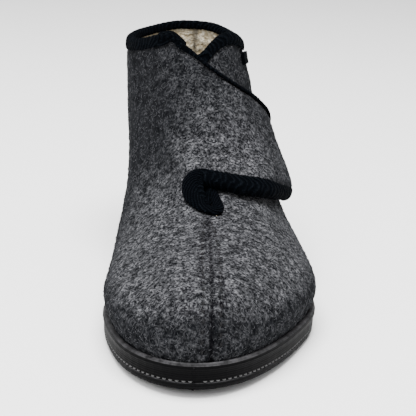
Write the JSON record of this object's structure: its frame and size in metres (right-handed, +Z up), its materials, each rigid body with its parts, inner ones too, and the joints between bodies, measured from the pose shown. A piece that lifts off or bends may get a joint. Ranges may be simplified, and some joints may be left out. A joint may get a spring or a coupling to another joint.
{
  "type": "felt house shoe",
  "caption": "Left ankle-high felt house shoe with a wrap-over closure flap, knitted tape bindings, pile lining and a low rubber sole unit.",
  "frame": {"origin": "middle of the shoe's own box in X and Y, on the floor it stands on", "axes": "+Z up, -Y towards the toe, +X towards the outer (lateral) side of the left foot"},
  "size_m": [0.113, 0.2802, 0.1403],
  "materials": {
    "felt": "mottled dark grey wool felt, matte, with fine lighter fibres",
    "binding": "black knitted binding tape with fine lengthwise ribs",
    "lining": "natural wool pile, matte",
    "sole": "near-black moulded rubber, satin, fine grooves along the side"
  },
  "bodies": {
    "root": {"outsole": "sole", "insole": "lining", "upper": "felt", "closure_flap": "felt", "collar_binding": "binding", "flap_binding": "binding", "side_tab": "binding"}
  },
  "joints": []
}
